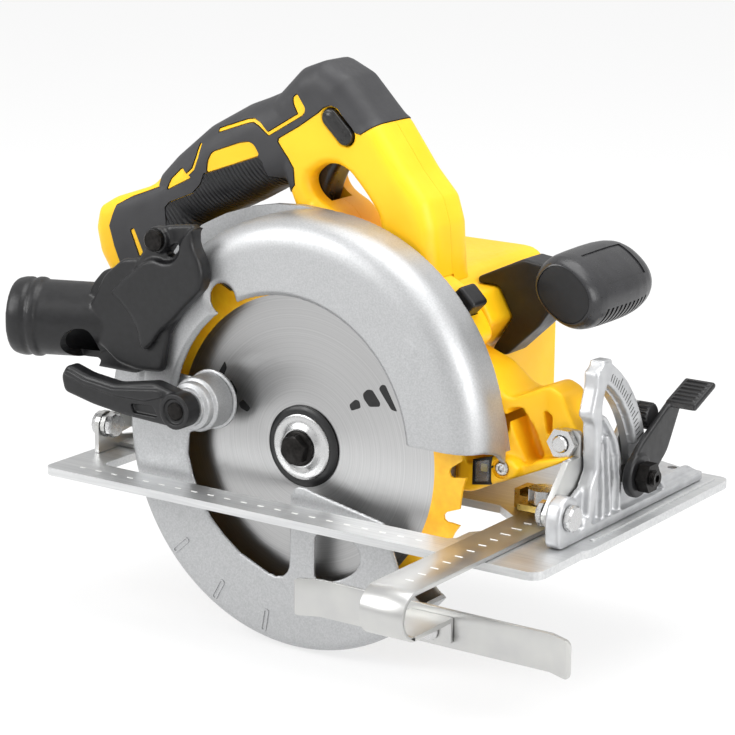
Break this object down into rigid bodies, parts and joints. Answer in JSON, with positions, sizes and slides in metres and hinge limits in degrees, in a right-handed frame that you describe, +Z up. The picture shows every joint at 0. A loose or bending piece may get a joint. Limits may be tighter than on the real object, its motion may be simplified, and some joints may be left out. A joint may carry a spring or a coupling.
{
  "type": "circular saw",
  "caption": "Cordless circular saw with a tilting shoe, swinging lower guard, rip fence, dust port, rear D-handle and front auxiliary grip.",
  "frame": {"origin": "centre of the flat underside of the shoe", "axes": "+X in the cutting direction, +Y from the blade towards the motor, +Z up"},
  "size_m": [0.3565, 0.2515, 0.2825],
  "materials": {
    "cast_aluminium": "die-cast and blasted, fine grain",
    "zinc_steel": "bright zinc-plated sheet",
    "bright_steel": "turned and polished",
    "passivated_steel": "yellow-passivated steel",
    "dark_steel": "black oxide",
    "blade_steel": "ground plate with a coated yellow rim",
    "yellow_plastic": "fine moulded grain",
    "black_plastic": "moulded grain",
    "soft_rubber": "matt soft overmould",
    "clear_plastic": "clear lens"
  },
  "bodies": {
    "shoe": {"shoe_plate": "cast_aluminium", "bevel_quadrant": "cast_aluminium", "rear_bevel_bracket": "zinc_steel", "rear_bracket_screw": "bright_steel", "front_bevel_pin": "bright_steel", "rear_bevel_pin": "bright_steel", "fence_guide_block": "passivated_steel"},
    "fence_screw": {"fence_screw": "bright_steel"},
    "rip_fence": {"rip_fence_bar": "zinc_steel", "rip_fence_plate": "zinc_steel", "rip_fence_rivet": "bright_steel"},
    "bevel_frame": {"bevel_bracket": "zinc_steel", "depth_bracket": "zinc_steel", "bevel_clamp_bolt": "dark_steel", "bevel_clamp_nut": "dark_steel", "depth_pivot_bolt": "bright_steel", "depth_pivot_nut": "bright_steel", "detent_knob": "black_plastic"},
    "bevel_lever": {"bevel_lever": "black_plastic"},
    "saw_body": {"depth_clamp_bolt": "bright_steel", "spindle_bearing_front": "bright_steel", "spindle_bearing_rear": "bright_steel", "stator": "dark_steel", "guard_spring": "dark_steel", "upper_guard": "cast_aluminium", "upper_guard_back": "cast_aluminium", "dust_chute": "black_plastic", "chute_screw": "dark_steel", "gear_case": "yellow_plastic", "light_lens": "clear_plastic", "motor_housing": "yellow_plastic", "motor_end_cap": "black_plastic", "handle_shell_near": "yellow_plastic", "handle_shell_far": "yellow_plastic", "head_cover": "soft_rubber", "grip_cover": "soft_rubber", "trigger_pin": "bright_steel", "switch_body": "black_plastic", "battery_foot": "black_plastic", "terminal_block": "black_plastic", "aux_grip": "soft_rubber", "aux_bracket": "black_plastic"},
    "depth_lever": {"depth_lever": "black_plastic"},
    "blade_assembly": {"blade": "blade_steel", "blade_flange_inner": "bright_steel", "blade_flange_outer": "bright_steel", "blade_bolt": "dark_steel", "spindle": "bright_steel", "spindle_gear": "dark_steel"},
    "rotor": {"rotor": "dark_steel", "pinion": "bright_steel", "cooling_fan": "black_plastic"},
    "lower_guard": {"lower_guard": "cast_aluminium", "guard_boss": "cast_aluminium", "guard_lever": "black_plastic", "guard_lever_screw": "dark_steel"},
    "trigger": {"trigger": "black_plastic"},
    "lock_off_button": {"lock_off_button": "black_plastic"},
    "spindle_lock": {"spindle_lock": "black_plastic"}
  },
  "joints": [
    {"name": "fence_slide", "type": "slide", "parent": "shoe", "child": "rip_fence", "axis": [0, 1, 0], "range_m": [-0.015, 0.04]},
    {"name": "fence_screw_turn", "type": "hinge", "parent": "shoe", "child": "fence_screw", "pos_m": [0.104, -0.022, 0.014], "axis": [0, 0, 1], "range_deg": [0, 180]},
    {"name": "bevel_tilt", "type": "hinge", "parent": "shoe", "child": "bevel_frame", "pos_m": [-0.012, -0.05, 0.018], "axis": [1, 0, 0], "range_deg": [0, 45]},
    {"name": "bevel_lever_swing", "type": "hinge", "parent": "bevel_frame", "child": "bevel_lever", "pos_m": [0.138, 0.006, 0.0255], "axis": [-1, 0, 0], "range_deg": [-40, 0]},
    {"name": "depth_swing", "type": "hinge", "parent": "bevel_frame", "child": "saw_body", "pos_m": [0.117, -0.017, 0.0455], "axis": [0, 1, 0], "range_deg": [0, 28]},
    {"name": "depth_lever_swing", "type": "hinge", "parent": "saw_body", "child": "depth_lever", "pos_m": [-0.062, -0.029, 0.028], "axis": [0, 1, 0], "range_deg": [0, 35]},
    {"name": "blade_spin", "type": "hinge", "parent": "saw_body", "child": "blade_assembly", "pos_m": [-0.012, -0.052, 0.028], "axis": [0, 1, 0], "continuous": true},
    {"name": "rotor_spin", "type": "hinge", "parent": "saw_body", "child": "rotor", "pos_m": [0.00208, 0.008, 0.05104], "axis": [0, 1, 0], "continuous": true},
    {"name": "lower_guard_swing", "type": "hinge", "parent": "saw_body", "child": "lower_guard", "pos_m": [-0.012, -0.052, 0.028], "axis": [0, 1, 0], "range_deg": [0, 125], "stiffness_Nm_per_rad": 0.15, "springref_deg": -114.59},
    {"name": "trigger_pull", "type": "hinge", "parent": "saw_body", "child": "trigger", "pos_m": [-0.013, -0.017, 0.169], "axis": [0, 1, 0], "range_deg": [0, 9], "stiffness_Nm_per_rad": 0.5, "springref_deg": -11.46},
    {"name": "lock_off_push", "type": "slide", "parent": "saw_body", "child": "lock_off_button", "axis": [0, 1, 0], "range_m": [0, 0.004], "stiffness_N_per_m": 300, "springref_m": -0.003},
    {"name": "spindle_lock_push", "type": "slide", "parent": "saw_body", "child": "spindle_lock", "axis": [-0.7001, 0, -0.7141], "range_m": [0, 0.004], "stiffness_N_per_m": 500, "springref_m": -0.003}
  ],
  "couplings": [
    {"joint": "rotor_spin", "follows": "blade_spin", "ratio": -5}
  ]
}
